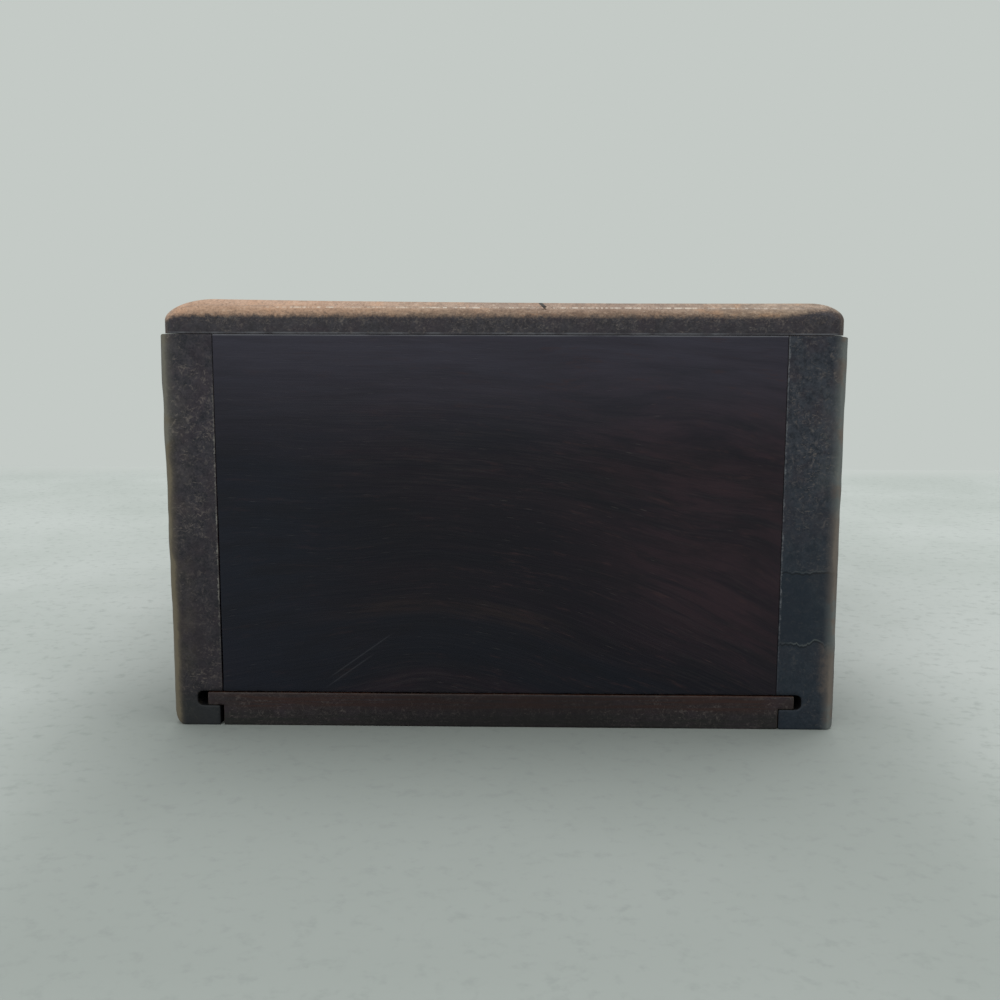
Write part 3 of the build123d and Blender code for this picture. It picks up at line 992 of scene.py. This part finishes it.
def sliding_bottom():
    """The bottom board, rebated below its tongues at both sides and at the far end."""
    low, high = box_mm("sliding_bottom")
    body_front = low.x + tongue_length
    body_back = high.x - tongue_length
    body_far = high.y - tongue_length
    edge = 1.2
    grid = [
        steps(
            (low.x, body_front, small),
            (body_front, body_front + edge, fine),
            (body_front + edge, body_back - edge, broad),
            (body_back - edge, body_back, fine),
            (body_back, high.x, small),
        ),
        steps(
            (low.y, low.y + edge, fine),
            (low.y + edge, body_far - edge, coarse),
            (body_far - edge, body_far, small),
            (body_far, high.y, 0.6),
        ),
        steps((0, edge, fine), (edge, tongue_bottom, 0.5), (tongue_bottom, high.z, 0.35)),
    ]

    def rebate(x, y, z):
        beside = np.maximum.reduce([body_front - x, x - body_back, y - body_far])
        return np.maximum(z - tongue_bottom, -beside)

    def solid(x, y, z):
        return rebate(x, y, z) > 0

    def field(p):
        x, y, z = p.T
        shape = low.y - y + wobble(p, 71, 0.05)
        top = z - high.z + wobble(p, 72, 0.03)
        for face in (low.x - x, x - high.x, y - high.y, top, -z):
            shape = eased(shape, face)
        return cut(shape, rebate(x, y, z))

    def inside(p):
        return np.clip(1 - (high.z - p[:, 2]) / 0.5, 0, 1) * within_box(p)

    name, slot = "sliding_bottom", "bottom_wood"
    return carve(name + "_wood", grid, solid, field, "bottom", name, bottom_finish, inside)


sliding_bottom()


# The lid, each of whose rounded edges has a width and a height

front_round = (9.0, 3.8)
back_round = (5.95, 2.9)
end_round = (4.0, 2.8)
lid_back_thickness = 5.6
lid_hollow = 0.25
lid_corner = 1.5


def lid_board():
    """The lid: thinner towards the back, slightly hollow on top, and rounded over all round."""
    low, high = lid_low, lid_high
    back_top = low.z + lid_back_thickness
    middle_x = (low.x + front_round[0] + high.x - back_round[0]) / 2
    half_top = (high.x - back_round[0] - low.x - front_round[0]) / 2
    round_cell, top_cell, near_cell = 0.5, 0.7, 0.25
    grid = [
        steps(
            (low.x, low.x + 3, fine),
            (low.x + 3, low.x + 12, round_cell),
            (low.x + 12, nick_x - 2, top_cell),
            (nick_x - 2, nick_x + 2, near_cell),
            (nick_x + 2, seat_inner, top_cell),
            (seat_inner, high.x - 3, round_cell),
            (high.x - 3, high.x, near_cell),
        ),
        along_the_box(low.y, high.y, near_cell),
        steps(
            (low.z, low.z + finest, finest),
            (low.z + finest, low.z + leaf_thickness, fine),
            (low.z + leaf_thickness, high.z, fine),
        ),
    ]

    def solid(x, y, z):
        return seat_hollow(x, y, z, low.z) > 0

    def top(x):
        t = (x - middle_x) / half_top
        flat = high.z + (back_top - high.z) * (t + 1) / 2
        return flat - lid_hollow * (1 - np.clip(t, -1, 1) ** 2)

    def field(p):
        x, y, z = p.T
        ragged = 1 + 0.12 * noise(p, 11, 91) + 0.05 * noise(p, 2.5, 92)
        above = z - top(x) + wobble(p, 93, 0.03)
        front = low.x - x + wobble(p, 94, 0.03)
        back = x - high.x + wobble(p, 95, 0.03)
        near = low.y - y + wobble(p, 96, 0.05)
        far = y - high.y + wobble(p, 97, 0.05)
        shape = above
        for face, (width, height) in (
            (front, front_round),
            (back, back_round),
            (near, end_round),
            (far, end_round),
        ):
            shape = rounded(shape, face, height * ragged, width)
        sides = rounded(np.maximum(front, back), np.maximum(near, far), lid_corner, lid_corner)
        shape = np.maximum(shape, sides)
        shape = rounded(shape, low.z - z, lid_lower_arris, lid_lower_arris)
        slip, rise = x - nick_x, z - nick_z
        dent = np.maximum(np.abs(slip + rise) - nick_half_width, np.abs(slip - rise) - nick_half_length)
        shape = cut(shape, np.maximum(dent, y - low.y - nick_depth), small_arris)
        return cut(shape, seat_hollow(x, y, z, low.z))

    def inside(p):
        return np.clip(1 - (p[:, 2] - low.z) / 0.4, 0, 1) * within_box(p)

    def wear(sharp, points):
        """Rises from 0 to 1 over the lowest 2 mm of the rounded edges, and falls off further in."""
        x, y = sharp.T[:2]
        start_front = high.z - front_round[1]
        start_back = back_top - back_round[1]
        side = np.where(x < 0, start_front, start_back)
        beside = ramp(np.minimum(x - low.x, high.x - x), 0, 3)
        end = high.z - end_round[1] - 0.15
        start = side + (end - side) * beside + 1.2 * ramp(x, 46, 58)
        margin = np.minimum.reduce([x - low.x, high.x - x, y - low.y, high.y - y])
        streaks = noise(sharp, (6, 70, 70), 98) + 0.6 * noise(sharp, (2.5, 40, 40), 99)
        fade_start, fade_length = 3, 15
        further_in = np.clip((margin - fade_start) / fade_length, 0, 1)
        kept_finish = 0.56 + 0.2 * streaks
        rounded_edge = np.clip(0.5 + (points[:, 2] - start) / 2, 0, 1)
        return np.clip(rounded_edge - kept_finish * further_in, 0, 1)

    return carve("lid_wood", grid, solid, field, "lid", "lid", lid_finish, inside, wear)


lid_board()

# Finish of the pieces kept from the frame

for node, thing in frame["nodes"].items():
    if "peg" in node:
        finish, slot = peg_finish, "peg_wood"
    elif "screws" in node:
        finish, slot = screw_brass, "screw_brass"
    elif "pin" in node:
        finish, slot = screw_brass, "pin_brass"
    elif "leaf" in node:
        finish, slot = hinge_brass, "hinge_brass"
    else:
        continue
    thing.data.materials.clear()
    thing.data.materials.append(finish)


# Floor, light and camera

table_end = 320.0
table_reach = 6000.0


def floor_paint():
    """A mottled grey table top, with a painted shadow before the box, and fading to the wall's tone far
    behind.
    """
    paint = Paint("floor")
    light_grey, lighter_grey = linear(180, 185, 182), linear(191, 195, 193)
    shaded_grey, grit_grey = linear(146, 151, 148), linear(140, 145, 143)
    wall_grey = linear(189, 192, 190)
    clouds = paint.noise(80, 3.0, 0.6)
    grit = paint.noise(3, 3.0, 0.7, seed=3.0)
    table = paint.mix(paint.spread(clouds, 0.3, 0.7), light_grey, lighter_grey)
    # Painted shadow of the box on the table in front of it.
    before = paint.times(paint.band(paint.x, 0, 55, 50), paint.band(paint.y, -130, 40, 60))
    table = paint.blend(table, shaded_grey, 0.75, before)
    table = paint.mix(paint.spread(grit, 0.5, 0.75, 0.0, 0.4), table, grit_grey)
    colour = paint.mix(paint.spread(paint.y, table_end - 50, table_end), table, wall_grey)
    return paint.finish(colour, 0.7, clouds, 0.0, specular=0.2)


floor_mesh = bpy.data.meshes.new("floor")
floor_corners = [
    (-table_reach * MM, -table_reach * MM, 0),
    (table_reach * MM, -table_reach * MM, 0),
    (table_reach * MM, table_end * MM, 0),
    (-table_reach * MM, table_end * MM, 0),
]
floor_mesh.from_pydata(floor_corners, [], [(0, 1, 2, 3)])
floor_mesh.materials.append(floor_paint())
floor = bpy.data.objects.new("floor", floor_mesh)
bpy.context.scene.collection.objects.link(floor)

world = bpy.data.worlds.new("studio")
world.use_nodes = True
bpy.context.scene.world = world
background = world.node_tree.nodes["Background"]
background.inputs["Color"].default_value = (*linear(196, 202, 198), 1)
background.inputs["Strength"].default_value = 1.0


def area_light(name, place, size, power):
    """A soft square lamp aimed at the box, with its place, target and size in metres."""
    target = (0, 0, 0.05)
    data = bpy.data.lights.new(name, "AREA")
    data.size = size
    data.energy = power
    lamp = bpy.data.objects.new(name, data)
    bpy.context.scene.collection.objects.link(lamp)
    lamp.location = place
    away = np.array(place) - np.array(target)
    lamp.rotation_euler = (
        math.atan2(math.hypot(away[0], away[1]), away[2]),
        0,
        math.atan2(away[0], -away[1]),
    )
    return lamp


area_light("overhead", place=(0.15, 0.35, 1.5), size=1.2, power=14)
area_light("front_fill", place=(-0.5, -1.5, 0.9), size=1.0, power=6)

# The camera stands close to the near end, at about the height of the lid. Its place is measured
# from the near end's face, the middle of the box and the floor, and its turns are in degrees.

eye_distance = 210.5
eye_side = 3.0
eye_height = 72.0
turn_left = 0.925
look_down = 8.157
tilt = 0.177
lens = 43.2


def photo_camera():
    """The camera, aimed from its place by three turns."""
    data = bpy.data.cameras.new("camera")
    data.lens = lens
    data.sensor_width = 36
    data.clip_start = 10 * MM
    camera = bpy.data.objects.new("camera", data)
    bpy.context.scene.collection.objects.link(camera)
    left, down, lean = (math.radians(v) for v in (turn_left, look_down, tilt))
    ahead = np.array(
        [-math.sin(left) * math.cos(down), math.cos(left) * math.cos(down), -math.sin(down)]
    )
    level_right = np.array([math.cos(left), math.sin(left), 0])
    level_up = np.cross(level_right, ahead)
    right = math.cos(lean) * level_right + math.sin(lean) * level_up
    up = math.cos(lean) * level_up - math.sin(lean) * level_right
    turn = Matrix([right, up, -ahead]).transposed()
    place = Matrix.Translation((eye_side * MM, (near_end - eye_distance) * MM, eye_height * MM))
    camera.matrix_world = place @ turn.to_4x4()
    bpy.context.scene.camera = camera


photo_camera()
bpy.context.scene.view_settings.view_transform = "Standard"
